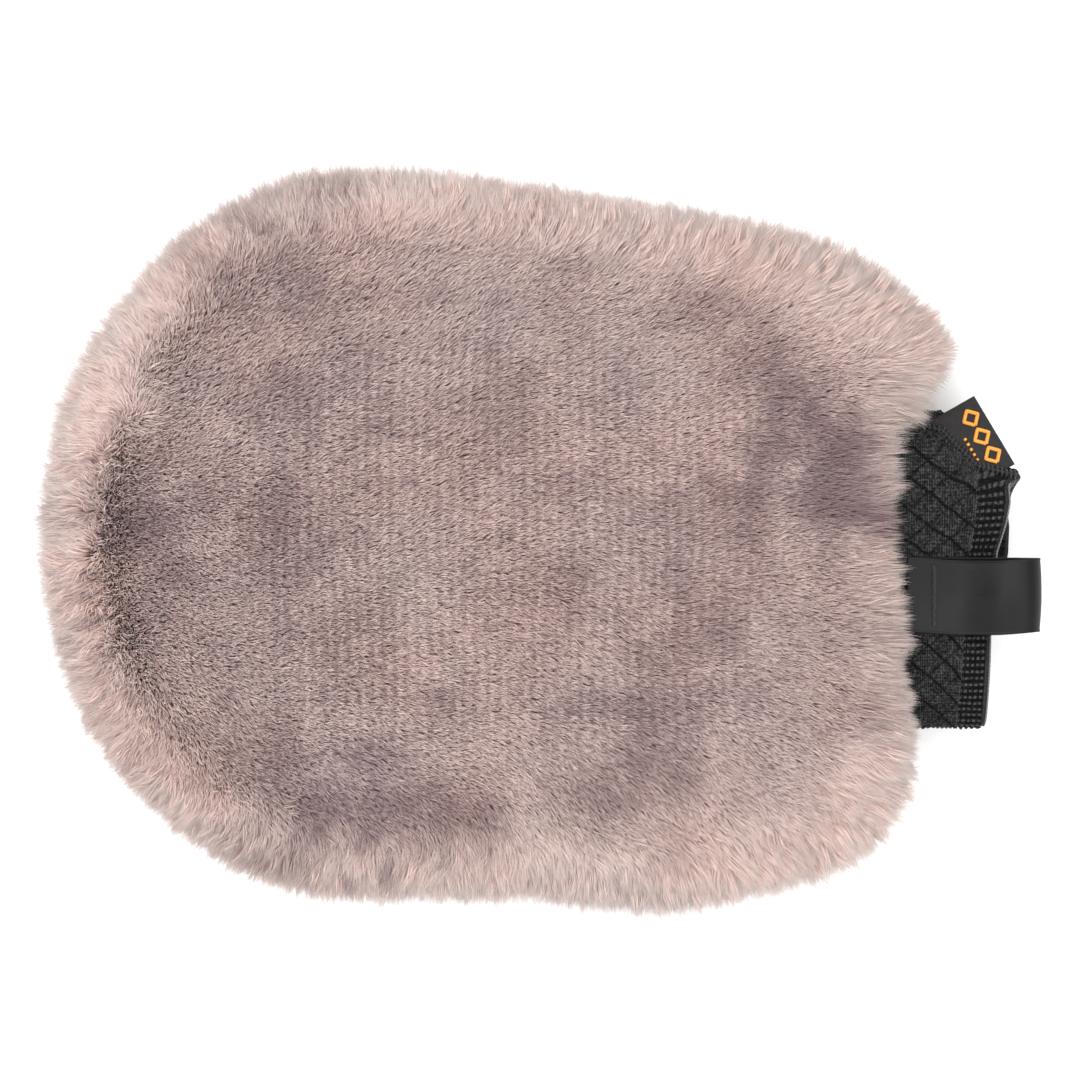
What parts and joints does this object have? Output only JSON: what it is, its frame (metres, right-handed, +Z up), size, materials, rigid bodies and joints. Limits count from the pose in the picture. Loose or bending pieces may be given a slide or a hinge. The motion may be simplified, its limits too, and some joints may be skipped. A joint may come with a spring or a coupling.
{
  "type": "wash mitt",
  "caption": "Deep-pile plush wash mitt lying flat, with a lined hand pocket, a double knitted cuff, a folded ribbon hanging loop and a small woven label",
  "frame": {"origin": "bottom centre of the whole mitt, on the surface that it lies on", "axes": "+X from the closed end to the cuff and loop, +Y across the mitt towards the label's side, +Z up through its thickness"},
  "size_m": [0.2676, 0.1972, 0.0458],
  "materials": {
    "plush": "matte long pile",
    "lining": "matte woven",
    "knit": "matte knitted",
    "elastic": "matte",
    "edge_cord": "matte twisted cord",
    "ribbon": "satin woven",
    "label": "satin woven",
    "label_thread": "satin thread",
    "thread": "matte thread"
  },
  "bodies": {
    "mitt": {"top_plush_panel": "plush", "bottom_plush_panel": "plush", "top_lining_panel": "lining", "bottom_lining_panel": "lining", "plush_seam_allowance": "lining", "lining_seam_allowance": "lining", "mouth_binding_tape": "thread", "mouth_stitching": "thread"},
    "cuff": {"cuff_outer_knit": "knit", "cuff_inner_knit": "knit", "elastic_thread_1": "elastic", "elastic_thread_2": "elastic", "elastic_thread_3": "elastic", "elastic_thread_4": "elastic", "cuff_edge_cord": "edge_cord", "cuff_side_seam": "thread"},
    "loop": {"hanging_loop": "ribbon", "loop_bartack": "thread"},
    "label": {"woven_label": "label", "label_stitching": "label_thread"}
  },
  "joints": [
    {"name": "cuff_fold", "type": "hinge", "parent": "mitt", "child": "cuff", "pos_m": [0.0992, -0.0079, 0.021], "axis": [0, -1, 0], "range_deg": [-25, 30]},
    {"name": "loop_swing", "type": "hinge", "parent": "cuff", "child": "loop", "pos_m": [0.1032, -0.0154, 0.0298], "axis": [0, -1, 0], "range_deg": [0, 60]},
    {"name": "label_flap", "type": "hinge", "parent": "cuff", "child": "label", "pos_m": [0.1116, 0.0365, 0.021], "axis": [0.6756, -0.7373, 0], "range_deg": [-60, 60]}
  ]
}
